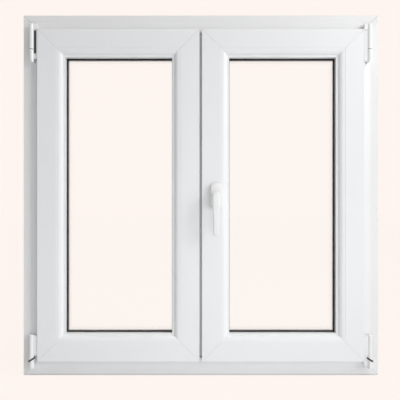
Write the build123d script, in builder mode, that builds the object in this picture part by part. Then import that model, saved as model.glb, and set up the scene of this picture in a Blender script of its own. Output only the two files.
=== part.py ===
from build123d import *
from math import cos, pi, sin, sqrt, tan
import os

# A white two-leaf PVC casement window, closed. Millimetres.
# +X runs to the right as seen from the room, -Y points into the room, +Z is up.
# The origin is at the middle of the sill's underside, at half the frame's depth.

# Overall size
window_width = 985.0
window_height = 1000.0
frame_depth = 70.0

# Walls of the hollow lengths
face_wall = 2.8
web = 1.8

# Outer frame, measured inward from its outer edge
rebate_height = 52.0
upstand_height = 20.0
upstand_thickness = 15.0
shoulder_flat = 20.0
shoulder_slope = 24.0
shoulder_drop = 4.5
drip_channel_start = 6.0
drip_channel_depth = 6.0
clip_groove_width = 8.0
clip_groove_depth = 4.2
clip_groove_spacing = 36.0
chamber_web_front = -20.0
chamber_web_middle = 5.0

# How the leaves sit in the frame
sash_cover = 8.0
leaf_gap = 7.0
seal_gap = 4.0
lap_thickness = 11.0
lap_width = 20.0
lap_edge_radius = 5.0

# Leaf section, measured inward from the leaf's outer edge
sash_flat = 52.0
gear_groove_width = 16.0
gear_groove_depth = 3.0
gear_groove_setback = 22.0
reinforcement_depth = 30.0
outer_edge_radius = 3.0

# Glazing beads
bead_width = 23.0
bead_depth = 22.0
bead_flat = 3.0
bead_step = 0.6
bead_nose_drop = 9.0
bead_lip = 5.5
bead_wall = 2.0
clip_setback = 4.0
clip_thickness = 3.0
clip_depth = 5.0
clip_play = 0.2

# Double glazing
pane_thickness = 4.0
glass_cavity = 16.0
glass_edge_clearance = 5.0
spacer_setback = 1.0
spacer_height = 11.0
flange_setback = 3.0
glazing_seal_thickness = 3.0
glazing_seal_width = 6.0
glazing_seal_lip = 1.6
flange_seal_lip = 1.0

# Bulb seals in their grooves
seal_groove_width = 3.0
seal_groove_depth = 3.0
seal_bulb_width = 5.5
lap_seal_inset = 2.0
frame_seal_inset = 1.2

# Floating mullion on the left leaf
gear_clearance = 12.0
mullion_end_gap = 3.0
mullion_cap_gap = 2.0
mullion_cap_setback = 6.0
mullion_cover_bevel = 4.0
mullion_seal_inset = 4.0

# Hinges, set out from the frame's outer edge and its two ends
hinge_axis_in = 27.0
hinge_axis_out = 9.0
hinge_diameter = 13.0
hinge_foot_outer = 21.5
hinge_foot_inner = 32.5
hinge_gap = 1.5
hinge_cap_bevel = 1.5
hinge_bridge_gap = 1.0
hinge_bridge_front = 3.5
hinge_arm_play = 0.5
hinge_arm_reach = 14.0
hinge_notch_play = 1.0
lower_bearing_start = 24.0
lower_split_height = 48.0
lower_split_angle = 32.0
lower_knuckle_top = 116.0
lower_arm_start = 60.0
lower_arm_height = 54.0
upper_bearing_drop = 134.0
upper_bearing_height = 35.0
upper_knuckle_drop = 28.0
upper_bridge_height = 17.0
upper_arm_drop = 88.0
upper_arm_height = 30.0
upper_tail_width = 4.0

# Handle
handle_height = 500.0
handle_backset = 37.5
rose_width = 29.0
rose_length = 66.0
rose_thickness = 11.0
rose_corner_radius = 9.0
rose_edge_bevel = 2.0
neck_diameter = 17.0
neck_play = 0.05
neck_socket_depth = 5.0
neck_end_gap = 0.3
lever_reach = 110.0
lever_rise = 9.5
lever_hub_width = 19.0
lever_tip_width = 15.0
lever_hub_front = 43.0
lever_bow_front = 47.0
lever_tip_front = 40.0
lever_hub_thickness = 14.0
lever_tip_thickness = 9.5
lever_end_round = 3.5
lever_end_steps = 3
lever_grip_steps = 8
lever_corner_share = 0.32

# Drain caps and fixing holes
drain_cap_spacing = 300.0
drain_cap_count = 3
drain_cap_width = 36.0
drain_cap_height = 12.0
drain_cap_thickness = 5.0
drain_cap_centre_up = 22.0
drain_cap_edge_radius = 3.0
fixing_hole_radius = 3.1
fixing_hole_from_end = 150.0

# Depths that follow from the sizes above, room side to outdoors
frame_face = -frame_depth / 2
frame_back = frame_depth / 2
lap_back = frame_face - seal_gap
sash_face = lap_back - lap_thickness
upstand_inner = frame_back - upstand_thickness
sash_back = upstand_inner - seal_gap
bead_face = sash_face + bead_step
bead_back = sash_face + bead_depth
glass_front = bead_back + glazing_seal_thickness
glass_back = glass_front + 2 * pane_thickness + glass_cavity
flange_front = glass_back + glazing_seal_thickness
clip_front = sash_face + clip_setback
clip_back = clip_front + clip_thickness
sight_line = sash_flat + bead_width
upstand_top = rebate_height + upstand_height
flange_line = sight_line - flange_setback
glass_edge = sash_flat + glass_edge_clearance
shoulder_end = shoulder_flat + shoulder_slope


class Ring:
    """The outer rectangle of four mitred lengths, seen from the room."""

    def __init__(self, left, right, bottom, top):
        self.left = left
        self.right = right
        self.bottom = bottom
        self.top = top
        self.width = right - left
        self.height = top - bottom
        self.centre_x = (left + right) / 2
        self.centre_z = (bottom + top) / 2

    def across(self, side):
        """The plane across the middle of one side: local x runs inward, local y outdoors."""
        middles = {
            "head": (Vector(self.centre_x, 0, self.top), Vector(0, 0, -1)),
            "sill": (Vector(self.centre_x, 0, self.bottom), Vector(0, 0, 1)),
            "left": (Vector(self.left, 0, self.centre_z), Vector(1, 0, 0)),
            "right": (Vector(self.right, 0, self.centre_z), Vector(-1, 0, 0)),
        }
        middle, inward = middles[side]
        return Plane(origin=middle, x_dir=inward, z_dir=inward.cross(Vector(0, 1, 0)))

    def length(self, side):
        return self.width if side in ("head", "sill") else self.height

    def facing(self, depth):
        """A plane facing the room at the given depth, with the ring's centre as its origin."""
        return Plane(
            origin=(self.centre_x, depth, self.centre_z), x_dir=(1, 0, 0), z_dir=(0, 1, 0)
        )


frame_ring = Ring(-window_width / 2, window_width / 2, 0, window_height)
leaf_inset = rebate_height - sash_cover
left_ring = Ring(
    frame_ring.left + leaf_inset,
    -leaf_gap / 2,
    frame_ring.bottom + leaf_inset,
    frame_ring.top - leaf_inset,
)
right_ring = Ring(leaf_gap / 2, frame_ring.right - leaf_inset, left_ring.bottom, left_ring.top)


def save(piece, name):
    """Name a finished piece and write it."""
    piece.part.label = name
    export_step(piece.part, os.path.join("parts", name + ".step"))


def chamber(inner, outer, front, back):
    """Leave one hollow in the section that is being drawn."""
    with Locations(((inner + outer) / 2, (front + back) / 2)):
        Rectangle(outer - inner, back - front, mode=Mode.SUBTRACT)


def mitre_ends(across, length):
    """Cut both ends of the length that is being made at 45 degrees."""
    for end in (-1, 1):
        corner = across.origin + across.z_dir * (end * length / 2)
        split(
            bisect_by=Plane(origin=corner, z_dir=across.z_dir * end + across.x_dir),
            keep=Keep.BOTTOM,
        )


def ring_band(ring, outer, inner, front, back):
    """Add a flat rectangular band to the piece that is being made."""
    with BuildSketch(ring.facing(front)) as band:
        Rectangle(ring.width - 2 * outer, ring.height - 2 * outer)
        Rectangle(ring.width - 2 * inner, ring.height - 2 * inner, mode=Mode.SUBTRACT)
    extrude(band.sketch, amount=back - front)


# Outer frame


def frame_section():
    """The frame's outline with its chambers, drip channel, clip grooves and seal groove."""
    channel_floor = rebate_height - drip_channel_depth
    seal_middle = upstand_top - frame_seal_inset - seal_bulb_width / 2
    wall_start = clip_groove_depth + web
    upstand_hollow = upstand_inner + seal_groove_depth + web
    with BuildSketch() as section:
        with BuildLine():
            Polyline(
                (0, frame_face + shoulder_drop),
                (shoulder_flat, frame_face + shoulder_drop),
                (shoulder_end, frame_face),
                (rebate_height, frame_face),
                (rebate_height, drip_channel_start),
                (channel_floor, drip_channel_start + drip_channel_depth),
                (channel_floor, upstand_inner),
                (upstand_top, upstand_inner),
                (upstand_top, frame_back),
                (0, frame_back),
                close=True,
            )
        make_face()
        outdoor_edge = section.vertices().sort_by(Axis.X)[-2:].sort_by(Axis.Y)[-1]
        fillet(outdoor_edge, radius=outer_edge_radius)
        with Locations((clip_groove_depth / 2, 0)):
            with GridLocations(1, clip_groove_spacing, 1, 2):
                Rectangle(clip_groove_depth, clip_groove_width, mode=Mode.SUBTRACT)
        with Locations((seal_middle, upstand_inner + seal_groove_depth / 2)):
            Rectangle(seal_groove_width, seal_groove_depth, mode=Mode.SUBTRACT)
        room_wall = frame_face + shoulder_drop + face_wall
        rebate_wall = rebate_height - face_wall
        chamber(wall_start, rebate_wall, room_wall, chamber_web_front - web / 2)
        chamber(wall_start, rebate_wall, chamber_web_front + web / 2, chamber_web_middle - web / 2)
        chamber(
            wall_start,
            channel_floor - face_wall,
            chamber_web_middle + web / 2,
            upstand_hollow - web,
        )
        chamber(wall_start, upstand_top - face_wall, upstand_hollow, frame_back - face_wall)
    return section.sketch


def frame_member(side):
    """One side of the frame. The jambs have two fixing holes each, from rebate to wall."""
    across = frame_ring.across(side)
    length = frame_ring.length(side)
    with BuildPart() as member:
        with BuildSketch(across) as section:
            add(frame_section())
        extrude(section.sketch, amount=length / 2, both=True)
        mitre_ends(across, length)
        if side in ("left", "right"):
            rebate = Plane(
                origin=across.origin + across.x_dir * rebate_height,
                x_dir=across.z_dir,
                z_dir=across.x_dir,
            )
            with Locations(rebate):
                with GridLocations(length - 2 * fixing_hole_from_end, 1, 2, 1):
                    Hole(radius=fixing_hole_radius, depth=rebate_height)
    return member


def frame_seal():
    """The bulb seal in the upstand, which the leaves' outdoor faces close on."""
    bulb_start = upstand_top - frame_seal_inset - seal_bulb_width
    foot_start = bulb_start + (seal_bulb_width - seal_groove_width) / 2
    with BuildPart() as seal:
        ring_band(frame_ring, bulb_start, bulb_start + seal_bulb_width, sash_back, upstand_inner)
        ring_band(
            frame_ring,
            foot_start,
            foot_start + seal_groove_width,
            upstand_inner,
            upstand_inner + seal_groove_depth,
        )
    return seal


def drain_caps():
    """Hooded caps over the drain slots, low on the outdoor face of the sill."""
    outdoor_face = Plane(
        origin=(0, frame_back, drain_cap_centre_up), x_dir=(-1, 0, 0), z_dir=(0, 1, 0)
    )
    with BuildPart() as caps:
        with BuildSketch(outdoor_face) as outline:
            with GridLocations(drain_cap_spacing, 1, drain_cap_count, 1):
                Rectangle(drain_cap_width, drain_cap_height)
        extrude(outline.sketch, amount=drain_cap_thickness)
        rims = caps.faces().sort_by(Axis.Y)[-drain_cap_count:].edges()
        fillet(rims, radius=drain_cap_edge_radius)
    return caps


# Leaves


def sash_section():
    """A leaf's outline: the lap over the frame, hollow body, bead groove and outdoor flange."""
    gear_front = sash_back - gear_groove_setback - gear_groove_width
    seal_middle = lap_seal_inset + seal_bulb_width / 2
    body_inner = lap_width + gear_groove_depth + face_wall
    platform_wall = sash_flat - face_wall
    with BuildSketch() as section:
        with BuildLine():
            Polyline(
                (0, sash_face),
                (sash_flat, sash_face),
                (sash_flat, flange_front),
                (flange_line, flange_front),
                (flange_line, sash_back),
                (lap_width, sash_back),
                (lap_width, lap_back),
                (0, lap_back),
                close=True,
            )
        make_face()
        corners = section.vertices()
        fillet(corners.sort_by(Axis.X)[-2:].sort_by(Axis.Y)[-1], radius=outer_edge_radius)
        fillet(corners.sort_by(Axis.Y)[:2].sort_by(Axis.X)[0], radius=lap_edge_radius)
        with Locations((sash_flat - clip_depth / 2, (clip_front + clip_back) / 2)):
            Rectangle(clip_depth, clip_thickness, mode=Mode.SUBTRACT)
        with Locations((lap_width + gear_groove_depth / 2, gear_front + gear_groove_width / 2)):
            Rectangle(gear_groove_depth, gear_groove_width, mode=Mode.SUBTRACT)
        with Locations((seal_middle, lap_back - seal_groove_depth / 2)):
            Rectangle(seal_groove_width, seal_groove_depth, mode=Mode.SUBTRACT)
        room_start = seal_middle + seal_groove_width / 2 + web
        room_end = sash_flat - clip_depth - web
        room_back = lap_back - face_wall
        chamber(room_start, room_end, sash_face + face_wall, room_back)
        main_back = room_back + web + reinforcement_depth
        chamber(body_inner, platform_wall, room_back + web, main_back)
        outer_front = flange_front + face_wall
        chamber(body_inner, platform_wall, main_back + web, outer_front - web)
        chamber(lap_width + face_wall, flange_line - face_wall, outer_front, sash_back - face_wall)
    return section.sketch


def sash_member(ring, side):
    """One side of a leaf, mitred into its neighbours."""
    across = ring.across(side)
    length = ring.length(side)
    with BuildPart() as member:
        with BuildSketch(across) as section:
            add(sash_section())
        extrude(section.sketch, amount=length / 2, both=True)
        mitre_ends(across, length)
    return member


def bead_section():
    """A rounded glazing bead: a narrow flat, a convex nose, a lip and a foot that clips in."""
    nose = bead_face + bead_nose_drop
    lip_start = sight_line - bead_lip
    with BuildSketch() as section:
        with BuildLine():
            Line((sash_flat, bead_face), (sash_flat + bead_flat, bead_face))
            TangentArc((sash_flat + bead_flat, bead_face), (lip_start, nose), tangent=(1, 0))
            Polyline(
                (lip_start, nose),
                (sight_line, nose),
                (sight_line, bead_back),
                (sash_flat, bead_back),
                (sash_flat, bead_face),
            )
        make_face()
        foot_depth = clip_depth - clip_play
        with Locations((sash_flat - foot_depth / 2, (clip_front + clip_back) / 2)):
            Rectangle(foot_depth, clip_thickness - 2 * clip_play)
        chamber(
            sash_flat + bead_wall,
            lip_start - bead_wall,
            nose,
            bead_back - bead_wall,
        )
    return section.sketch


def bead(ring, side):
    """One glazing bead, mitred at the inside corners."""
    across = ring.across(side)
    length = ring.length(side)
    with BuildPart() as length_of_bead:
        with BuildSketch(across) as section:
            add(bead_section())
        extrude(section.sketch, amount=length / 2, both=True)
        mitre_ends(across, length)
    return length_of_bead


def pane(ring, front):
    """One sheet of glass."""
    with BuildPart() as sheet:
        with BuildSketch(ring.facing(front)) as outline:
            Rectangle(ring.width - 2 * glass_edge, ring.height - 2 * glass_edge)
        extrude(outline.sketch, amount=pane_thickness)
    return sheet


def spacer(ring):
    """The hollow bar that holds the two panes apart."""
    start = glass_edge + spacer_setback
    front = glass_front + pane_thickness
    with BuildPart() as bar:
        ring_band(ring, start, start + spacer_height, front, front + glass_cavity)
    return bar


def glazing_seals(ring):
    """The seals on both faces of the glass, one under the beads and one on the flange."""
    fits = (
        (sight_line, glazing_seal_lip, bead_back, glass_front),
        (flange_line, flange_seal_lip, glass_back, flange_front),
    )
    with BuildPart() as seals:
        for edge, lip, front, back in fits:
            ring_band(ring, edge - glazing_seal_width, edge + lip, front, back)
    return seals


def lap_seal(ring, hinge_side):
    """The bulb seal behind the lap, notched where the two hinge arms pass."""
    foot_start = lap_seal_inset + (seal_bulb_width - seal_groove_width) / 2
    notch_width = hinge_arm_reach + hinge_notch_play
    notch_middle = hinge_side * (window_width / 2 - leaf_inset - notch_width / 2)
    arms = ((lower_arm_start, lower_arm_height), (upper_arm_start, upper_arm_height))
    with BuildPart() as seal:
        ring_band(ring, lap_seal_inset, lap_seal_inset + seal_bulb_width, lap_back, frame_face)
        ring_band(
            ring,
            foot_start,
            foot_start + seal_groove_width,
            lap_back - seal_groove_depth,
            lap_back,
        )
        for low, height in arms:
            with Locations((notch_middle, (lap_back + frame_face) / 2, low + height / 2)):
                Box(
                    notch_width,
                    seal_gap,
                    height + 2 * hinge_notch_play,
                    mode=Mode.SUBTRACT,
                )
    return seal


# Floating mullion


mullion_left = -leaf_gap / 2 - lap_width
mullion_right = -mullion_left - gear_clearance
mullion_cover_half = leaf_gap / 2 + lap_width + sash_cover
mullion_low = frame_ring.bottom + upstand_top + mullion_end_gap
mullion_high = frame_ring.top - upstand_top - mullion_end_gap


def floating_mullion():
    """The T section screwed to the left leaf: a web between the leaves and an outdoor cover."""
    cover_wall = upstand_inner + face_wall
    with BuildPart() as mullion:
        with BuildSketch(Plane.XY.offset(mullion_low)) as section:
            with BuildLine():
                Polyline(
                    (mullion_left, frame_face),
                    (mullion_right, frame_face),
                    (mullion_right, upstand_inner),
                    (mullion_cover_half, upstand_inner),
                    (mullion_cover_half, frame_back - mullion_cover_bevel),
                    (mullion_cover_half - mullion_cover_bevel, frame_back),
                    (mullion_cover_bevel - mullion_cover_half, frame_back),
                    (-mullion_cover_half, frame_back - mullion_cover_bevel),
                    (-mullion_cover_half, upstand_inner),
                    (mullion_left, upstand_inner),
                    close=True,
                )
            make_face()
            chamber(
                mullion_left + face_wall,
                mullion_right - face_wall,
                frame_face + face_wall,
                upstand_inner - web,
            )
            chamber(
                mullion_cover_bevel - mullion_cover_half + face_wall,
                mullion_cover_half - mullion_cover_bevel - face_wall,
                cover_wall,
                frame_back - face_wall,
            )
        extrude(section.sketch, amount=mullion_high - mullion_low)
    return mullion


def mullion_end_caps():
    """Moulded caps that close both ends of the mullion against the frame."""
    cap_back = sash_back - mullion_cap_setback
    cap_height = mullion_low - rebate_height - mullion_cap_gap
    middle_x = (mullion_left + mullion_right) / 2
    middle_y = (frame_face + cap_back) / 2
    lows = (rebate_height + mullion_cap_gap, mullion_high)
    with BuildPart() as caps:
        for low in lows:
            with BuildSketch(Plane.XY.offset(low)) as outline:
                with Locations((middle_x, middle_y)):
                    Rectangle(mullion_right - mullion_left, cap_back - frame_face)
            extrude(outline.sketch, amount=cap_height)
    return caps


def mullion_seals():
    """Two seals on the cover's room side, one against each leaf."""
    middle = mullion_cover_half - mullion_seal_inset
    with BuildPart() as seals:
        with BuildSketch(Plane.XY.offset(mullion_low)) as section:
            with Locations((0, (sash_back + upstand_inner) / 2)):
                with GridLocations(2 * middle, 1, 2, 1):
                    Rectangle(seal_bulb_width, seal_gap)
        extrude(section.sketch, amount=mullion_high - mullion_low)
    return seals


# Hinges


hinge_axis_y = frame_face - hinge_axis_out
upper_bearing_start = window_height - upper_bearing_drop
upper_bearing_top = upper_bearing_start + upper_bearing_height
upper_knuckle_top = window_height - upper_knuckle_drop
upper_bridge_start = upper_knuckle_top - upper_bridge_height
upper_arm_start = window_height - upper_arm_drop


def hinge_axis_x(hand):
    return hand * (window_width / 2 - hinge_axis_in)


def shoulder_face(inward):
    """The depth of the frame's room face at a distance in from its outer edge."""
    climb = min(max(inward - shoulder_flat, 0), shoulder_slope) / shoulder_slope
    return frame_face + shoulder_drop * (1 - climb)


def hinge_column(hand, low, high):
    """Add a barrel on a foot that stands on the slope of the frame's face."""
    edge = hand * window_width / 2
    foot_start = edge - hand * hinge_foot_outer
    foot_end = edge - hand * hinge_foot_inner
    with BuildSketch(Plane.XY.offset(low)) as section:
        with Locations((hinge_axis_x(hand), hinge_axis_y)):
            Circle(hinge_diameter / 2)
        with BuildLine():
            Polyline(
                (foot_start, hinge_axis_y),
                (foot_start, shoulder_face(hinge_foot_outer)),
                (foot_end, shoulder_face(hinge_foot_inner)),
                (foot_end, hinge_axis_y),
                close=True,
            )
        make_face()
    extrude(section.sketch, amount=high - low)


def slanted_split(hand, height):
    """The plane between the two halves of a lower hinge, which falls towards the outside."""
    upward = Vector(0, 0, 1).rotate(Axis.Y, hand * lower_split_angle)
    return Plane(origin=(hinge_axis_x(hand), 0, height), x_dir=(0, 1, 0), z_dir=upward)


def lower_bearing(hand):
    """The frame half of a lower hinge, cut at a slant under the knuckle."""
    with BuildPart() as bearing:
        hinge_column(hand, lower_bearing_start, lower_knuckle_top)
        split(bisect_by=slanted_split(hand, lower_split_height - hinge_gap), keep=Keep.BOTTOM)
    return bearing


def upper_bearing(hand):
    """The frame half of an upper hinge: a column that tapers down on its outer side."""
    radius = hinge_diameter / 2
    centre = hinge_axis_x(hand)
    leaf_side = centre - hand * radius
    outer_side = centre + hand * radius
    with BuildPart() as bearing:
        hinge_column(hand, upper_bearing_start, upper_bearing_top)
        with BuildSketch(Plane.XZ) as outline:
            with BuildLine():
                Polyline(
                    (leaf_side + hand * upper_tail_width, upper_bearing_start),
                    (leaf_side, upper_bearing_start),
                    (leaf_side, upper_bearing_top),
                    (outer_side, upper_bearing_top),
                )
                TangentArc(
                    (outer_side, upper_bearing_top),
                    (leaf_side + hand * upper_tail_width, upper_bearing_start),
                    tangent=(0, -1),
                )
            make_face()
        extrude(outline.sketch, amount=frame_depth, both=True, mode=Mode.INTERSECT)
    return bearing


def knuckle(hand, low, top, bridge, arm):
    """The leaf half of a hinge: a capped barrel, a bridge to the lap and an arm behind it.

    The bridge and the arm are each given by their start and their height.
    """
    centre = hinge_axis_x(hand)
    lap_edge = hand * (window_width / 2 - leaf_inset)
    bridge_end = lap_edge + hand * hinge_bridge_gap
    arm_end = lap_edge - hand * hinge_arm_reach
    arm_back = frame_face - hinge_arm_play
    bridge_front = hinge_axis_y - hinge_bridge_front
    with BuildPart() as half:
        with BuildSketch(Plane.XY.offset(low)) as round_section:
            with Locations((centre, hinge_axis_y)):
                Circle(hinge_diameter / 2)
        extrude(round_section.sketch, amount=top - low)
        chamfer(half.edges().sort_by(Axis.Z)[-1], length=hinge_cap_bevel)
        for far_end, front, (start, height) in (
            (bridge_end, bridge_front, bridge),
            (arm_end, lap_back, arm),
        ):
            with BuildSketch(Plane.XY.offset(start)) as section:
                with Locations(((centre + far_end) / 2, (front + arm_back) / 2)):
                    Rectangle(abs(centre - far_end), arm_back - front)
            extrude(section.sketch, amount=height)
    return half


def lower_knuckle(hand):
    """The leaf half of a lower hinge, cut at the same slant as the bearing."""
    arm = (lower_arm_start, lower_arm_height)
    whole = knuckle(hand, lower_bearing_start, lower_knuckle_top, arm, arm)
    with BuildPart() as half:
        add(whole.part)
        split(bisect_by=slanted_split(hand, lower_split_height + hinge_gap), keep=Keep.TOP)
    return half


def upper_knuckle(hand):
    """The leaf half of an upper hinge, on top of its bearing."""
    bridge = (upper_bridge_start, upper_bridge_height)
    arm = (upper_arm_start, upper_arm_height)
    return knuckle(hand, upper_bearing_top + hinge_gap, upper_knuckle_top, bridge, arm)


# Handle


handle_x = leaf_gap / 2 + handle_backset
rose_front = sash_face - rose_thickness
handle_plane = Plane(origin=(handle_x, sash_face, handle_height), x_dir=(1, 0, 0), z_dir=(0, -1, 0))


def handle_rose():
    """The oblong plate on the right leaf's meeting stile, with the neck's socket."""
    with BuildPart() as rose:
        with BuildSketch(handle_plane) as outline:
            RectangleRounded(rose_width, rose_length, rose_corner_radius)
        extrude(outline.sketch, amount=rose_thickness)
        chamfer(rose.faces().sort_by(Axis.Y)[0].edges(), length=rose_edge_bevel)
        with BuildSketch(handle_plane.offset(rose_thickness - neck_socket_depth)) as socket:
            Circle(neck_diameter / 2 + neck_play)
        extrude(socket.sketch, amount=neck_socket_depth, mode=Mode.SUBTRACT)
    return rose


def lever_station(distance):
    """Width, thickness and stand-off of the lever at a distance from its hub end."""
    share = min(max((distance - lever_rise) / lever_reach, 0), 1)
    width = lever_hub_width + (lever_tip_width - lever_hub_width) * share
    thickness = lever_hub_thickness + (lever_tip_thickness - lever_hub_thickness) * share
    straight_front = lever_hub_front + (lever_tip_front - lever_hub_front) * share
    bow = lever_bow_front - (lever_hub_front + lever_tip_front) / 2
    front = straight_front + 4 * bow * share * (1 - share)
    return width, thickness, front - thickness / 2


def lever_outline(distance, inset):
    """The lever's cross-section, a rectangle whose corners are eased by three narrow flats."""
    width, thickness, standoff = lever_station(distance)
    width -= 2 * inset
    thickness -= 2 * inset
    corner = thickness * lever_corner_share
    first_cut = corner * (2 - sqrt(2))
    second_cut = corner * (tan(pi / 8) - tan(pi / 16))
    with BuildSketch(Plane.XY.offset(handle_height + lever_rise - distance)) as outline:
        with Locations((handle_x, sash_face - standoff)):
            Rectangle(width, thickness)
        chamfer(outline.vertices(), length=first_cut)
        chamfer(outline.vertices(), length=second_cut)
    return outline.sketch


def handle_lever():
    """The lever: a round neck and a bowed grip that tapers to its tip, rounded at both ends."""
    neck_start = rose_thickness - neck_socket_depth + neck_end_gap
    hub_middle = lever_hub_front - lever_hub_thickness / 2
    whole = lever_rise + lever_reach
    grip = whole - 2 * lever_end_round
    angles = [pi / 2 * step / lever_end_steps for step in range(lever_end_steps + 1)]
    hub_end = [(lever_end_round * (1 - cos(a)), lever_end_round * (1 - sin(a))) for a in angles]
    middle = [
        (lever_end_round + grip * step / lever_grip_steps, 0)
        for step in range(1, lever_grip_steps)
    ]
    tip_end = [(whole - distance, inset) for distance, inset in reversed(hub_end)]
    with BuildPart() as lever:
        loft(sections=[lever_outline(*place) for place in hub_end + middle + tip_end], ruled=True)
        with BuildSketch(handle_plane.offset(neck_start)) as neck:
            Circle(neck_diameter / 2)
        extrude(neck.sketch, amount=hub_middle - neck_start)
    return lever


# Build and write every piece

os.makedirs("parts", exist_ok=True)

for side, name in (
    ("head", "frame_head"),
    ("sill", "frame_sill"),
    ("left", "frame_jamb_left"),
    ("right", "frame_jamb_right"),
):
    save(frame_member(side), name)
save(frame_seal(), "frame_seal")
save(drain_caps(), "drain_caps")

for hand, leaf, ring in ((-1, "left", left_ring), (1, "right", right_ring)):
    sides = {
        "head": "top",
        "sill": "bottom",
        leaf: "hinge",
        "right" if leaf == "left" else "left": "meeting",
    }
    for side, place in sides.items():
        kind = "rail" if place in ("top", "bottom") else "stile"
        save(sash_member(ring, side), f"{leaf}_leaf_{place}_{kind}")
        save(bead(ring, side), f"{leaf}_bead_{place}")
    save(pane(ring, glass_front), f"{leaf}_pane_inner")
    save(pane(ring, glass_back - pane_thickness), f"{leaf}_pane_outer")
    save(spacer(ring), f"{leaf}_spacer")
    save(glazing_seals(ring), f"{leaf}_glazing_seals")
    save(lap_seal(ring, hand), f"{leaf}_lap_seal")
    save(lower_bearing(hand), f"{leaf}_lower_hinge_bearing")
    save(lower_knuckle(hand), f"{leaf}_lower_hinge_knuckle")
    save(upper_bearing(hand), f"{leaf}_upper_hinge_bearing")
    save(upper_knuckle(hand), f"{leaf}_upper_hinge_knuckle")

save(floating_mullion(), "floating_mullion")
save(mullion_end_caps(), "mullion_end_caps")
save(mullion_seals(), "mullion_seals")
save(handle_rose(), "handle_rose")
save(handle_lever(), "handle_lever")
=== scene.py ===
import math

import bpy
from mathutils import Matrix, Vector


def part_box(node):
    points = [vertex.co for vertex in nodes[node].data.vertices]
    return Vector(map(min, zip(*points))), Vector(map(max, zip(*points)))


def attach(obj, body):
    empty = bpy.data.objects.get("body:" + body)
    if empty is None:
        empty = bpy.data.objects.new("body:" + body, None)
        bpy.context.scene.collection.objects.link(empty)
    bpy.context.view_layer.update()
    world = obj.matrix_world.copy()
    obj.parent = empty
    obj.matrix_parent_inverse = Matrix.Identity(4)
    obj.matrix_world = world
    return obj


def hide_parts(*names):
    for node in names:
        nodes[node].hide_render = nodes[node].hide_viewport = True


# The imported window, which every piece below sits on or dresses.
# It stands on its sill on the floor, with the room side facing the camera.

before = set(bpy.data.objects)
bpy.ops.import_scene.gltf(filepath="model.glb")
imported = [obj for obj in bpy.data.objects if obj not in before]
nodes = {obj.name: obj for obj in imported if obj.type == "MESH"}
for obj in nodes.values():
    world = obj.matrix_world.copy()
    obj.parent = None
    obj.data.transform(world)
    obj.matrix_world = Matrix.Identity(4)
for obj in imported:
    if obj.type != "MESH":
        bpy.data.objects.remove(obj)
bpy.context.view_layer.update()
bpy.ops.object.select_all(action="DESELECT")


# Outer frame: four white PVC profiles, extruded, mitred and welded at the corners.
# The welds are trimmed by a knife, which leaves a shallow groove along each mitre that is
# painted grey, as dirt and as painted shade, and the foot of the sill has painted shade.


def values_group(name, inputs, outputs):
    """A node group with named number inputs and outputs, and its two end nodes."""
    group = bpy.data.node_groups.new(name, "ShaderNodeTree")
    for label, default in inputs:
        socket = group.interface.new_socket(label, in_out="INPUT", socket_type="NodeSocketFloat")
        socket.default_value = default
    for label in outputs:
        group.interface.new_socket(label, in_out="OUTPUT", socket_type="NodeSocketFloat")
    start = group.nodes.new("NodeGroupInput")
    end = group.nodes.new("NodeGroupOutput")
    return group, start, end


def sum_node(tree, operation, first, second=None, third=None, clamp=False):
    """A Math node whose inputs are sockets or plain numbers; its result socket comes back."""
    node = tree.nodes.new("ShaderNodeMath")
    node.operation = operation
    node.use_clamp = clamp
    for socket, value in zip(node.inputs, (first, second, third)):
        if value is None:
            continue
        if isinstance(value, (int, float)):
            socket.default_value = value
        else:
            tree.links.new(value, socket)
    return node.outputs[0]


def smooth_step(tree, value, low, high):
    """A Map Range node that rises smoothly from 0 to 1 between two values."""
    node = tree.nodes.new("ShaderNodeMapRange")
    node.interpolation_type = "SMOOTHSTEP"
    node.inputs["From Min"].default_value = low
    node.inputs["From Max"].default_value = high
    tree.links.new(value, node.inputs["Value"])
    return node.outputs["Result"]


def place_on_piece(tree):
    """The Object coordinates of the point that is shaded, as one socket."""
    return tree.nodes.new("ShaderNodeTexCoord").outputs["Object"]


def noise_on_piece(tree, detail, scale):
    """A Noise Texture on Object coordinates; the scale is a number or a socket."""
    noise = tree.nodes.new("ShaderNodeTexNoise")
    noise.inputs["Detail"].default_value = detail
    tree.links.new(place_on_piece(tree), noise.inputs["Vector"])
    if isinstance(scale, (int, float)):
        noise.inputs["Scale"].default_value = scale
    else:
        tree.links.new(scale, noise.inputs["Scale"])
    return noise


def weld_seam_group():
    """The line along the mitres of a welded ring of profiles, as a mask from 0 to 1."""
    group, start, end = values_group(
        "weld_seam",
        (("Centre X", 0.0), ("Centre Z", 0.5), ("Half Width", 0.5), ("Half Height", 0.5), ("Seam", 0.0015)),
        ("Line",),
    )
    split = group.nodes.new("ShaderNodeSeparateXYZ")
    group.links.new(place_on_piece(group), split.inputs[0])
    insets = []
    for axis, centre, half in (("X", "Centre X", "Half Width"), ("Z", "Centre Z", "Half Height")):
        offset = sum_node(group, "SUBTRACT", split.outputs[axis], start.outputs[centre])
        offset = sum_node(group, "ABSOLUTE", offset)
        insets.append(sum_node(group, "SUBTRACT", offset, start.outputs[half]))
    away = sum_node(group, "ABSOLUTE", sum_node(group, "SUBTRACT", *insets))
    away = sum_node(group, "MULTIPLY", away, math.sqrt(0.5))
    share = sum_node(group, "DIVIDE", away, start.outputs["Seam"])
    group.links.new(smooth_step(group, share, 1.0, 0.55), end.inputs["Line"])
    return group


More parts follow.
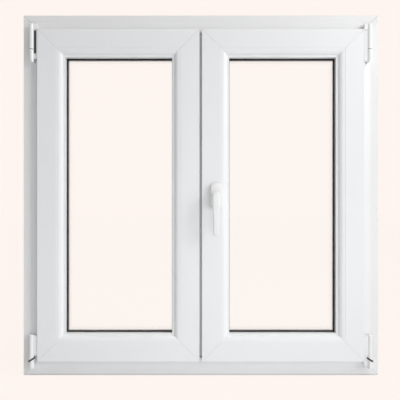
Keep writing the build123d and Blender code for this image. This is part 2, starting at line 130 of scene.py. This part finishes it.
def moulding_grain_group():
    """The very fine skin of extruded or moulded plastic, and its slow change over a metre."""
    group, start, end = values_group(
        "moulding_grain",
        (("Grain Scale", 900.0), ("Cloud Scale", 3.0)),
        ("Grain", "Cloud", "Smear"),
    )
    for scale, detail, label in (("Grain Scale", 3.0, "Grain"), ("Cloud Scale", 2.0, "Cloud")):
        noise = noise_on_piece(group, detail, start.outputs[scale])
        group.links.new(noise.outputs["Fac"], end.inputs[label])
    smear = noise_on_piece(group, 5.0, 22.0)
    smear.inputs["Roughness"].default_value = 0.65
    group.links.new(smooth_step(group, smear.outputs["Fac"], 0.42, 0.7), end.inputs["Smear"])
    return group


def settled_dust_group():
    """Where fine dust lies: faces that look up, broken into patches."""
    group, start, end = values_group("settled_dust", (("Patches", 35.0),), ("Dust",))
    surface = group.nodes.new("ShaderNodeNewGeometry")
    split = group.nodes.new("ShaderNodeSeparateXYZ")
    group.links.new(surface.outputs["Normal"], split.inputs[0])
    flat = smooth_step(group, split.outputs["Z"], 0.35, 0.95)
    noise = noise_on_piece(group, 6.0, start.outputs["Patches"])
    patch = smooth_step(group, noise.outputs["Fac"], 0.35, 0.7)
    group.links.new(sum_node(group, "MULTIPLY", flat, patch), end.inputs["Dust"])
    return group


weld_seam = weld_seam_group()
moulding_grain = moulding_grain_group()
settled_dust = settled_dust_group()


def add_group(tree, group, **numbers):
    """Place a node group in a material with its own numbers."""
    node = tree.nodes.new("ShaderNodeGroup")
    node.node_tree = group
    for label, number in numbers.items():
        node.inputs[label.replace("_", " ")].default_value = number
    return node


def mixed_colour(tree, share, first, second):
    """A colour that goes from the first to the second as the share goes from 0 to 1."""
    node = tree.nodes.new("ShaderNodeMix")
    node.data_type = "RGBA"
    sockets = [s for s in node.inputs if s.type == "RGBA"]
    for socket, colour in zip(sockets, (first, second)):
        if isinstance(colour, tuple):
            socket.default_value = (*colour, 1.0)
        else:
            tree.links.new(colour, socket)
    tree.links.new(share, node.inputs["Factor"])
    return next(s for s in node.outputs if s.type == "RGBA")


def finish_base(name, ior=None):
    """A new material with its tree and its Principled shader."""
    material = bpy.data.materials.new(name)
    material.use_nodes = True
    shader = material.node_tree.nodes["Principled BSDF"]
    if ior:
        shader.inputs["IOR"].default_value = ior
    return material, material.node_tree, shader


def raised_by(tree, height, under=None):
    """The normal of a surface raised by a height in metres, over another normal where one is given."""
    bump = tree.nodes.new("ShaderNodeBump")
    bump.inputs["Strength"].default_value = 1.0
    bump.inputs["Distance"].default_value = 1.0
    tree.links.new(height, bump.inputs["Height"])
    if under:
        tree.links.new(under, bump.inputs["Normal"])
    return bump.outputs["Normal"]


cloud_shade = 0.965
smear_roughness = 0.015
dust_colour = (0.52, 0.50, 0.46)
dust_share = 0.14
dust_roughness = 0.25
# The foot colour and share paint shade along the bottom edge of the frame.
foot_shade_colour = (0.40, 0.37, 0.35)
foot_shade_share = 0.5
# The seam colour paints the weld lines grey, partly as dirt in the groove and partly as painted shade of it.
seam_dirt_and_shade_colour = (0.66, 0.66, 0.66)
seam_groove_depth = 0.00025


def plastic_finish(
    name,
    colour,
    roughness,
    ring=None,
    seam_width=0.0016,
    seam_dirt_and_shade=0.28,
    grain_depth=0.00001,
    shaded_foot_height=0.0,
    edge_radius=0.0008,
):
    """White window plastic: satin skin, soft edges, faint clouding, dust on ledges, weld lines grey with dirt
    and painted shade, and painted shade at the foot.
    """
    material, tree, shader = finish_base(name, ior=1.53)
    grain = add_group(tree, moulding_grain, Grain_Scale=1400.0, Cloud_Scale=2.5)
    dust = add_group(tree, settled_dust, Patches=30.0)
    shade = tuple(c * cloud_shade for c in colour)
    base = mixed_colour(tree, grain.outputs["Cloud"], colour, shade)
    dusty = sum_node(tree, "MULTIPLY", dust.outputs["Dust"], dust_share)
    base = mixed_colour(tree, dusty, base, dust_colour)
    # Painted shade: the frame is darkened over the few millimetres above the floor.
    if shaded_foot_height:
        split = tree.nodes.new("ShaderNodeSeparateXYZ")
        tree.links.new(place_on_piece(tree), split.inputs[0])
        near_foot = smooth_step(tree, split.outputs["Z"], shaded_foot_height, 0.0)
        painted_foot_shade = sum_node(tree, "MULTIPLY", near_foot, foot_shade_share)
        base = mixed_colour(tree, painted_foot_shade, base, foot_shade_colour)
    height = sum_node(tree, "MULTIPLY", grain.outputs["Grain"], grain_depth)
    if ring:
        centre_x, centre_z, half_width, half_height = ring
        seam = add_group(
            tree,
            weld_seam,
            Centre_X=centre_x,
            Centre_Z=centre_z,
            Half_Width=half_width,
            Half_Height=half_height,
            Seam=seam_width,
        )
        # Weld lines: painted grey, partly as dirt and partly as painted shade in the groove.
        seam_darkening = sum_node(tree, "MULTIPLY", seam.outputs["Line"], seam_dirt_and_shade)
        base = mixed_colour(tree, seam_darkening, base, seam_dirt_and_shade_colour)
        groove = sum_node(tree, "MULTIPLY", seam.outputs["Line"], -seam_groove_depth)
        height = sum_node(tree, "ADD", height, groove)
    tree.links.new(base, shader.inputs["Base Color"])
    rough = sum_node(tree, "MULTIPLY_ADD", grain.outputs["Smear"], smear_roughness, roughness)
    rough = sum_node(tree, "MULTIPLY_ADD", dust.outputs["Dust"], dust_roughness, rough, clamp=True)
    tree.links.new(rough, shader.inputs["Roughness"])
    soft_normal = None
    if edge_radius:
        soft = tree.nodes.new("ShaderNodeBevel")
        soft.samples = 6
        soft.inputs["Radius"].default_value = edge_radius
        soft_normal = soft.outputs["Normal"]
    tree.links.new(raised_by(tree, height, soft_normal), shader.inputs["Normal"])
    return material


def dress(material, *names):
    """Give CAD nodes a finish in place of the plain one they were packed with."""
    for name in names:
        nodes[name].data.materials.clear()
        nodes[name].data.materials.append(material)


def ring_of(low_node, high_node):
    """Centre and half sizes of a ring of profiles, from its bottom and top piece."""
    low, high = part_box(low_node)[0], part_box(high_node)[1]
    return ((low.x + high.x) / 2, (low.z + high.z) / 2, (high.x - low.x) / 2, (high.z - low.z) / 2)


frame_plastic = plastic_finish(
    "frame_plastic",
    (0.83, 0.83, 0.832),
    0.34,
    ring_of("frame_sill", "frame_head"),
    seam_dirt_and_shade=0.8,
    shaded_foot_height=0.006,
)
dress(frame_plastic, "frame_head", "frame_sill", "frame_jamb_left", "frame_jamb_right")


# Leaves: the same white PVC, four welded profiles each, that overlap the frame and each other.
# Every leaf has its own weld lines, from its outer corners to the corners of its glass,
# and four beads with a smoother skin, clipped in round the glass.

for leaf in ("left", "right"):
    ring = ring_of(f"{leaf}_leaf_bottom_rail", f"{leaf}_leaf_top_rail")
    leaf_plastic = plastic_finish(f"{leaf}_leaf_plastic", (0.85, 0.855, 0.86), 0.32, ring)
    dress(
        leaf_plastic,
        *[f"{leaf}_leaf_{p}" for p in ("top_rail", "bottom_rail", "hinge_stile", "meeting_stile")],
    )
    bead_plastic = plastic_finish(
        f"{leaf}_bead_plastic",
        (0.86, 0.865, 0.87),
        0.42,
        ring,
        seam_width=0.0007,
        grain_depth=0.000002,
        edge_radius=0.0,
    )
    dress(bead_plastic, *[f"{leaf}_bead_{p}" for p in ("top", "bottom", "hinge", "meeting")])


# Floating mullion: a white PVC profile screwed to the left leaf, with grey-white end caps.
# It closes the gap between the leaves and shows as a narrow strip. The drain caps on the
# outdoor face of the sill are moulded from the same plastic as the end caps.

mullion_plastic = plastic_finish("mullion_plastic", (0.83, 0.835, 0.84), 0.34)
dress(mullion_plastic, "floating_mullion")
cap_plastic = plastic_finish("cap_plastic", (0.78, 0.785, 0.79), 0.45)
dress(cap_plastic, "mullion_end_caps", "drain_caps")


# Seals: black rubber in the frame's rebate, under the leaves' laps and on both sides of the glass.
# The rubber is extruded, so it has a dull skin with a fine grain and a little bloom.

rubber_colour = (0.018, 0.018, 0.019)
rubber_shade = (0.034, 0.034, 0.035)
bloom_colour = (0.09, 0.09, 0.09)
bloom_share = 0.25
rubber_roughness, rubber_roughness_spread = 0.55, 0.2
rubber_grain_depth = 0.00005


def rubber_finish(name):
    """Dull black rubber with a pale bloom and a fine grain."""
    material, tree, shader = finish_base(name, ior=1.5)
    grain = add_group(tree, moulding_grain, Grain_Scale=2200.0, Cloud_Scale=9.0)
    base = mixed_colour(tree, grain.outputs["Cloud"], rubber_colour, rubber_shade)
    bloom = sum_node(tree, "MULTIPLY", grain.outputs["Smear"], bloom_share)
    base = mixed_colour(tree, bloom, base, bloom_colour)
    tree.links.new(base, shader.inputs["Base Color"])
    grainy = grain.outputs["Grain"]
    rough = sum_node(tree, "MULTIPLY_ADD", grainy, rubber_roughness_spread, rubber_roughness)
    tree.links.new(rough, shader.inputs["Roughness"])
    height = sum_node(tree, "MULTIPLY", grainy, rubber_grain_depth)
    tree.links.new(raised_by(tree, height), shader.inputs["Normal"])
    return material


black_rubber = rubber_finish("black_rubber")
dress(
    black_rubber,
    "frame_seal",
    "mullion_seals",
    "left_glazing_seals",
    "right_glazing_seals",
    "left_lap_seal",
    "right_lap_seal",
)


# Glass: two 4 mm float panes a leaf, with an aluminium spacer bar between them round the edge.
# The panes are clear, with a trace of green and of wiping marks. The bar is rolled
# from strip and keeps its mill finish.

pane_colour = (0.998, 1.0, 0.999)
pane_shade = (0.994, 0.999, 0.997)
pane_smear_roughness = 0.0035
bar_colour = (0.46, 0.465, 0.47)
bar_shade = (0.54, 0.545, 0.55)
bar_roughness, bar_roughness_spread = 0.32, 0.15


def pane_finish():
    """Clear float glass, with wiping marks that only change its roughness."""
    material, tree, shader = finish_base("float_glass", ior=1.45)
    shader.inputs["Transmission Weight"].default_value = 1.0
    grain = add_group(tree, moulding_grain, Grain_Scale=60.0, Cloud_Scale=1.5)
    base = mixed_colour(tree, grain.outputs["Cloud"], pane_colour, pane_shade)
    tree.links.new(base, shader.inputs["Base Color"])
    rough = sum_node(tree, "MULTIPLY", grain.outputs["Smear"], pane_smear_roughness)
    tree.links.new(rough, shader.inputs["Roughness"])
    return material


def spacer_finish():
    """Rolled aluminium strip, with a fine grain and a slow change of tone along it."""
    material, tree, shader = finish_base("rolled_aluminium")
    shader.inputs["Metallic"].default_value = 0.9
    grain = add_group(tree, moulding_grain, Grain_Scale=1200.0, Cloud_Scale=12.0)
    base = mixed_colour(tree, grain.outputs["Cloud"], bar_colour, bar_shade)
    tree.links.new(base, shader.inputs["Base Color"])
    rough = sum_node(tree, "MULTIPLY_ADD", grain.outputs["Grain"], bar_roughness_spread, bar_roughness)
    tree.links.new(rough, shader.inputs["Roughness"])
    return material


float_glass = pane_finish()
dress(float_glass, "left_pane_inner", "left_pane_outer", "right_pane_inner", "right_pane_outer")
rolled_aluminium = spacer_finish()
dress(rolled_aluminium, "left_spacer", "right_spacer")


# Hinges: a bearing on the frame and a knuckle on the leaf at each outer corner, in white
# moulded covers. A black bush round each pin and a slanted black washer in the joint of
# each lower hinge are painted shade: they darken the gaps between the halves.

hinge_plastic = plastic_finish("hinge_plastic", (0.86, 0.86, 0.86), 0.25)
# A dull black for the parts that paint shade into the hinge joints and beside the left upper hinge.
painted_shade_black = rubber_finish("painted_shade_black")
corners = [(leaf, place) for leaf in ("left", "right") for place in ("lower", "upper")]
for half in ("bearing", "knuckle"):
    dress(hinge_plastic, *[f"{leaf}_{place}_hinge_{half}" for leaf, place in corners])


def take_up(piece):
    """Select one piece alone and make it the active one."""
    bpy.ops.object.select_all(action="DESELECT")
    piece.select_set(True)
    bpy.context.view_layer.objects.active = piece


def block(name, low, high):
    """A cube that fills the space between two corners, with its scale and place applied."""
    bpy.ops.object.select_all(action="DESELECT")
    bpy.ops.mesh.primitive_cube_add(size=1, location=[(a + b) / 2 for a, b in zip(low, high)])
    piece = bpy.context.object
    piece.name = name
    piece.scale = [b - a for a, b in zip(low, high)]
    bpy.ops.object.transform_apply(location=True, rotation=True, scale=True)
    return piece


def drum(name, middle, radius, length, turned=(0, 0, 0)):
    """A cylinder round a middle point, with its place applied."""
    bpy.ops.object.select_all(action="DESELECT")
    bpy.ops.mesh.primitive_cylinder_add(
        vertices=48, radius=radius, depth=length, location=middle, rotation=turned
    )
    piece = bpy.context.object
    piece.name = name
    bpy.ops.object.transform_apply(location=True, rotation=True, scale=True)
    return piece


def ease(piece, wanted, offset, segments):
    """Round the edges whose two end points pass a test."""
    bpy.ops.object.mode_set(mode="EDIT")
    bpy.ops.mesh.select_mode(type="EDGE")
    bpy.ops.mesh.select_all(action="DESELECT")
    bpy.ops.object.mode_set(mode="OBJECT")
    for edge in piece.data.edges:
        edge.select = wanted(*(piece.data.vertices[i].co for i in edge.vertices))
    bpy.ops.object.mode_set(mode="EDIT")
    bpy.ops.mesh.bevel(offset=offset, segments=segments, affect="EDGES", clamp_overlap=True)
    bpy.ops.object.mode_set(mode="OBJECT")


def face_on(piece, direction):
    """Enter edit mode with only the faces selected that look in one direction."""
    bpy.ops.object.mode_set(mode="EDIT")
    bpy.ops.mesh.select_mode(type="FACE")
    bpy.ops.mesh.select_all(action="DESELECT")
    bpy.ops.object.mode_set(mode="OBJECT")
    for face in piece.data.polygons:
        face.select = face.normal.dot(Vector(direction)) > 0.9
    bpy.ops.object.mode_set(mode="EDIT")


def settle(piece, material, body="window"):
    """Smooth a finished piece, give it its finish and let it ride on its body."""
    bpy.ops.object.mode_set(mode="EDIT")
    bpy.ops.mesh.select_all(action="SELECT")
    bpy.ops.mesh.normals_make_consistent(inside=False)
    bpy.ops.object.mode_set(mode="OBJECT")
    bpy.ops.object.shade_smooth_by_angle(angle=math.radians(40))
    piece.data.materials.clear()
    piece.data.materials.append(material)
    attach(piece, body)


def twin(piece, name, shift):
    """A copy of a piece with its own mesh, moved and with its place applied."""
    copy = piece.copy()
    copy.data = piece.data.copy()
    copy.name = name
    bpy.context.scene.collection.objects.link(copy)
    take_up(copy)
    copy.location = shift
    bpy.ops.object.transform_apply(location=True, rotation=True, scale=True)
    return copy


jamb_low, jamb_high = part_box("frame_jamb_right")
room_face = jamb_low.y
pin_inset, pin_stands_out = 0.027, 0.009
axis_x = jamb_high.x - pin_inset
axis_y = room_face - pin_stands_out
joint_height = {"lower": 0.048, "upper": 0.90175}
bush_radius, bush_length, bush_edge = 0.0056, 0.022, 0.0008
washer_radius, washer_thickness, washer_edge = 0.0083, 0.0042, 0.0005
washer_stretch = 1.24
washer_slant = math.radians(32)

lower_joint = (axis_x, axis_y, joint_height["lower"])
# The black bushes only show in the hinge joints, where they stand in for the shade of the gaps: painted
# shade.
rim_height = bush_length / 2
shade_bush = drum("right_lower_bush", lower_joint, bush_radius, bush_length)
ease(
    shade_bush,
    lambda a, b: abs(a.z - b.z) < 1e-6 and abs(abs(a.z - lower_joint[2]) - rim_height) < 1e-5,
    bush_edge,
    3,
)
for leaf, place in corners:
    if (leaf, place) == ("right", "lower"):
        continue
    across = -2 * axis_x if leaf == "left" else 0
    copy = twin(shade_bush, f"{leaf}_{place}_bush", (across, 0, joint_height[place] - lower_joint[2]))
    settle(copy, painted_shade_black)
take_up(shade_bush)
settle(shade_bush, painted_shade_black)

# The slanted black washers fill the joints of the lower hinges with dark: painted shade of the gaps.
shade_washer = drum("right_lower_shade_washer", lower_joint, washer_radius, washer_thickness)
ease(shade_washer, lambda a, b: abs(a.z - b.z) < 1e-6 and (a - b).length < 0.002, washer_edge, 2)
left_shade_washer = twin(shade_washer, "left_lower_shade_washer", (-2 * axis_x, 0, 0))
for piece, side in ((shade_washer, 1), (left_shade_washer, -1)):
    take_up(piece)
    middle = (side * axis_x, axis_y, lower_joint[2])
    bpy.ops.object.mode_set(mode="EDIT")
    bpy.ops.mesh.select_all(action="SELECT")
    bpy.ops.transform.resize(value=(washer_stretch, 1, 1), center_override=middle)
    bpy.ops.transform.rotate(value=-washer_slant * side, orient_axis="Y", center_override=middle)
    bpy.ops.object.mode_set(mode="OBJECT")
    settle(piece, painted_shade_black)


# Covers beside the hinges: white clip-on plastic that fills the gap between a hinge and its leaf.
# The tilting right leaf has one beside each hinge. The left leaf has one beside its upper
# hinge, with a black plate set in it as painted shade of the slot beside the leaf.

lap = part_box("right_leaf_hinge_stile")[1].x
barrel_side = axis_x - 0.0035
cover_back = room_face - 0.0012
eased_from = room_face - 0.0100
rim_width, face_rise = 0.0008, 0.0006
taper_length, taper = 0.008, (0.55, 0.8, 1)
cover_edge = 0.0005


def hinge_cover(name, low_x, high_x, front, bottom, top):
    """A cover with a raised face and a tapered foot, and rounded front edges where it stands out far."""
    piece = block(name, (low_x, front, bottom), (high_x, cover_back, top))
    face_on(piece, (0, -1, 0))
    bpy.ops.mesh.inset(thickness=rim_width, depth=0.0)
    bpy.ops.mesh.extrude_region_move(TRANSFORM_OT_translate={"value": (0, -face_rise, 0)})
    face_on(piece, (0, 0, -1))
    middle = ((low_x + high_x) / 2, (front + cover_back) / 2, bottom)
    bpy.ops.mesh.extrude_region_move(TRANSFORM_OT_translate={"value": (0, 0, -taper_length)})
    bpy.ops.transform.resize(value=taper, center_override=middle)
    bpy.ops.object.mode_set(mode="OBJECT")
    ease(
        piece,
        lambda a, b: abs(a.x - b.x) < 1e-6 and a.y < eased_from and b.y < eased_from,
        cover_edge,
        2,
    )
    settle(piece, hinge_plastic)


right_gap, left_gap = 0.0012, 0.0004
right_front, left_front = room_face - 0.0102, room_face - 0.0090
cover_top = 0.9545
foot_bottom, foot_top = 0.034, 0.060
right_bottom, left_bottom = 0.876, 0.884
hinge_cover("right_stay_cover", lap + right_gap, barrel_side, right_front, right_bottom, cover_top)
hinge_cover("right_foot_cover", lap + right_gap, barrel_side, right_front, foot_bottom, foot_top)
hinge_cover("left_stay_cover", -barrel_side, -lap - left_gap, left_front, left_bottom, cover_top)

# The black plate is painted shade: it darkens the slot between the left upper hinge and its leaf.
plate_x = -(barrel_side + lap) / 2 - 0.0006
plate_front, plate_back = room_face - 0.0106, room_face - 0.0080
plate_bottom, plate_top = 0.8900, 0.9530
plate_half_width, plate_corner = 0.0028, 0.0024
plate_rim, plate_hollow = 0.0010, 0.0008
shade_plate = block(
    "left_stay_shade_plate",
    (plate_x - plate_half_width, plate_front, plate_bottom),
    (plate_x + plate_half_width, plate_back, plate_top),
)
ease(shade_plate, lambda a, b: abs(a.x - b.x) < 1e-6 and abs(a.z - b.z) < 1e-6, plate_corner, 4)
face_on(shade_plate, (0, -1, 0))
bpy.ops.mesh.inset(thickness=plate_rim, depth=-plate_hollow)
bpy.ops.object.mode_set(mode="OBJECT")
settle(shade_plate, painted_shade_black)


# Handle: a cast lever with a white powder coat on a moulded rose, screwed to the right leaf.
# The lever is drawn out of a block, bowed and tapered, and its neck turns in the rose's socket.

handle_coat = plastic_finish("handle_coat", (0.86, 0.86, 0.86), 0.24, grain_depth=0.00002)
dress(handle_coat, "handle_rose", "handle_lever")

lever_low, lever_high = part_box("handle_lever")
handle_x = (lever_low.x + lever_high.x) / 2
leaf_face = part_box("handle_rose")[1].y
rise, reach = 0.0095, 0.110
hub_width, width_loss = 0.019, 0.004
hub_thickness, thickness_loss = 0.014, 0.0045
hub_front, front_loss, bow = 0.0415, 0.0050, 0.0300
lever_steps = 12
top_rounding, tip_rounding, lever_edge = 0.0085, 0.0062, 0.0030


def draw_out(piece, direction, steps):
    """Extrude the end that looks in one direction, step by step, scaling it on the way."""
    face_on(piece, direction)
    for move, scale, centre in steps:
        bpy.ops.mesh.extrude_region_move(TRANSFORM_OT_translate={"value": move})
        bpy.ops.transform.resize(value=scale, center_override=centre)
    bpy.ops.object.mode_set(mode="OBJECT")


def grip_section(distance):
    """Width, thickness, depth of the middle and height of the lever at a distance from its top."""
    share = max(distance - rise, 0) / reach
    width = hub_width - width_loss * share
    thickness = hub_thickness - thickness_loss * share
    front = hub_front - front_loss * share + bow * share * (1 - share)
    return width, thickness, leaf_face - front + thickness / 2, lever_high.z - distance


width, thickness, depth, top = grip_section(0)
lever = block(
    "lever",
    (handle_x - width / 2, depth - thickness / 2, top - rise),
    (handle_x + width / 2, depth + thickness / 2, top),
)
steps = []
before = grip_section(rise)
for step in range(1, lever_steps + 1):
    here = grip_section(rise + reach * step / lever_steps)
    move = (0, here[2] - before[2], here[3] - before[3])
    steps.append((move, (here[0] / before[0], here[1] / before[1], 1), (handle_x, here[2], here[3])))
    before = here
draw_out(lever, (0, 0, -1), steps)
for end, radius in ((top, top_rounding), (before[3], tip_rounding)):
    ease(
        lever,
        lambda a, b: abs(a.x - b.x) < 1e-5 and abs(a.z - end) < 1e-5 and abs(b.z - end) < 1e-5,
        radius,
        6,
    )
bpy.ops.object.mode_set(mode="EDIT")
bpy.ops.mesh.select_mode(type="EDGE")
bpy.ops.mesh.select_all(action="DESELECT")
bpy.ops.mesh.edges_select_sharp(sharpness=math.radians(45))
bpy.ops.mesh.bevel(offset=lever_edge, segments=4, affect="EDGES", clamp_overlap=True)
bpy.ops.object.mode_set(mode="OBJECT")

handle_z = lever_high.z - rise
towards_room = (math.radians(90), 0, 0)
neck_radius, neck_length, neck_depth = 0.0085, 0.004, 0.0095
neck_rings = ((0.0002, 1.10), (0.0028, 1), (0.0010, 0.86), (0.0195, 1))
neck = drum("neck", (handle_x, leaf_face - neck_depth, handle_z), neck_radius, neck_length, towards_room)
neck_steps = []
neck_end = leaf_face - neck_depth - neck_length / 2
for length, widening in neck_rings:
    neck_end -= length
    neck_steps.append(((0, -length, 0), (widening, 1, widening), (handle_x, neck_end, handle_z)))
draw_out(neck, (0, -1, 0), neck_steps)
take_up(lever)
neck.select_set(True)
bpy.ops.object.join()
settle(lever, handle_coat, body="handle")
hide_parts("handle_lever")

rose_low, rose_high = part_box("handle_rose")
rose_front, rose_back = rose_low.y, leaf_face - 0.0024
rose_corner, rose_edge = 0.0115, 0.0032
socket_radius, socket_length = 0.0087, 0.0060
socket_middle = (handle_x, rose_front + 0.0010, handle_z)
rose = block("rose_cover", rose_low, (rose_high.x, rose_back, rose_high.z))
ease(rose, lambda a, b: abs(a.y - b.y) > 0.005, rose_corner, 8)
ease(rose, lambda a, b: a.y < rose_front + 1e-5 and b.y < rose_front + 1e-5, rose_edge, 4)
socket = drum("socket", socket_middle, socket_radius, socket_length, towards_room)
hollow = rose.modifiers.new("socket", "BOOLEAN")
hollow.operation = "DIFFERENCE"
hollow.object = socket
take_up(rose)
bpy.ops.object.modifier_apply(modifier="socket")
bpy.data.objects.remove(socket)
settle(rose, handle_coat)
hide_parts("handle_rose")

base_inset, base_height, base_corner = 0.0005, 0.0022, 0.0110
base = block(
    "rose_base",
    (rose_low.x + base_inset, leaf_face - base_height, rose_low.z + base_inset),
    (rose_high.x - base_inset, leaf_face, rose_high.z - base_inset),
)
ease(base, lambda a, b: abs(a.y - b.y) > 0.001, base_corner, 8)
settle(base, handle_coat)


# Studio: a pale floor that takes a faint shadow, and a pale backdrop all round.
# Soft light comes from the right, from above and from behind, with round panels
# in front at the middle and at the right.

backdrop_colour = (0.991, 0.913, 0.871)
floor_glow_share = 0.94


def seen_directly(tree):
    """1 for what the camera sees, also in a reflection or through glass, and 0 for what lights the window."""
    seen = tree.nodes.new("ShaderNodeLightPath")
    straight = sum_node(tree, "ADD", seen.outputs["Is Camera Ray"], seen.outputs["Is Glossy Ray"])
    return sum_node(tree, "ADD", straight, seen.outputs["Is Transmission Ray"], clamp=True)


def blended_output(tree, share, first, second, output):
    """Feed the output with the first shader where the share is 0 and the second where it is 1."""
    blend = tree.nodes.new("ShaderNodeMixShader")
    tree.links.new(share, blend.inputs["Fac"])
    tree.links.new(first.outputs[0], blend.inputs[1])
    tree.links.new(second.outputs[0], blend.inputs[2])
    tree.links.new(blend.outputs[0], output.inputs["Surface"])


bpy.ops.mesh.primitive_plane_add(size=24, location=(0, 0, 0))
floor = bpy.context.object
floor.name = "floor"
floor_paint = bpy.data.materials.new("floor_paint")
floor_paint.use_nodes = True
tree = floor_paint.node_tree
tree.nodes.clear()
lit = tree.nodes.new("ShaderNodeBsdfDiffuse")
lit.inputs["Color"].default_value = (0.88, 0.90, 0.92, 1.0)
glow = tree.nodes.new("ShaderNodeEmission")
glow.inputs["Color"].default_value = (*backdrop_colour, 1.0)
glow.inputs["Strength"].default_value = 1.01
glowing = sum_node(tree, "MULTIPLY", seen_directly(tree), floor_glow_share)
blended_output(tree, glowing, lit, glow, tree.nodes.new("ShaderNodeOutputMaterial"))
floor.data.materials.append(floor_paint)

world = bpy.data.worlds.new("studio")
bpy.context.scene.world = world
world.use_nodes = True
tree = world.node_tree
tree.nodes.clear()
fill = tree.nodes.new("ShaderNodeBackground")
fill.inputs["Color"].default_value = (1.0, 1.0, 1.0, 1.0)
fill.inputs["Strength"].default_value = 0.20
wall = tree.nodes.new("ShaderNodeBackground")
wall.inputs["Color"].default_value = (*backdrop_colour, 1.0)
wall.inputs["Strength"].default_value = 1.0
blended_output(tree, seen_directly(tree), fill, wall, tree.nodes.new("ShaderNodeOutputWorld"))


def distant_lamp(name, towards, spread, strength):
    """A soft lamp so far away that it lights the whole window evenly, and that glass doesn't show."""
    lamp = bpy.data.lights.new(name, "SUN")
    lamp.angle = math.radians(spread)
    lamp.energy = strength
    stand = bpy.data.objects.new(name, lamp)
    stand.rotation_euler = Vector(towards).to_track_quat("Z", "Y").to_euler()
    stand.visible_transmission = False
    bpy.context.scene.collection.objects.link(stand)


distant_lamp("key", (0.80, -0.50, 0.33), 20, 0.95)
distant_lamp("overhead", (0.08, -0.18, 0.98), 40, 1.08)
distant_lamp("behind", (-0.30, 0.75, 0.60), 60, 0.38)

window_middle = Vector((0, 0, 0.5))


def near_lamp(name, place, size, power):
    """A round soft lamp beside the camera that looks at the window and leaves no image in the glass."""
    lamp = bpy.data.lights.new(name, "AREA")
    lamp.shape = "DISK"
    lamp.size = size
    lamp.energy = power
    stand = bpy.data.objects.new(name, lamp)
    stand.location = place
    stand.rotation_euler = (Vector(place) - window_middle).to_track_quat("Z", "Y").to_euler()
    stand.visible_glossy = False
    stand.visible_transmission = False
    bpy.context.scene.collection.objects.link(stand)


near_lamp("low_panel", (0.90, -1.20, 0.08), 0.8, 3.6)
near_lamp("centre_panel", (0.10, -0.95, 0.10), 0.6, 1.65)
near_lamp("front_panel", (0.50, -1.30, 0.90), 1.0, 1.15)
near_lamp("high_panel", (0.75, -0.55, 1.15), 0.5, 1.5)


# Camera: square on to the window from the room, a little over a metre in front of it,
# with the whole window and a narrow margin in the picture.

camera = bpy.data.cameras.new("camera")
camera.lens = 42.2
camera.sensor_width = 36.0
camera_stand = bpy.data.objects.new("camera", camera)
camera_stand.location = (-0.002, -1.335, 0.487)
camera_stand.rotation_euler = (math.radians(90), 0.0, 0.0)
bpy.context.scene.collection.objects.link(camera_stand)
bpy.context.scene.camera = camera_stand
bpy.context.scene.view_settings.view_transform = "Standard"
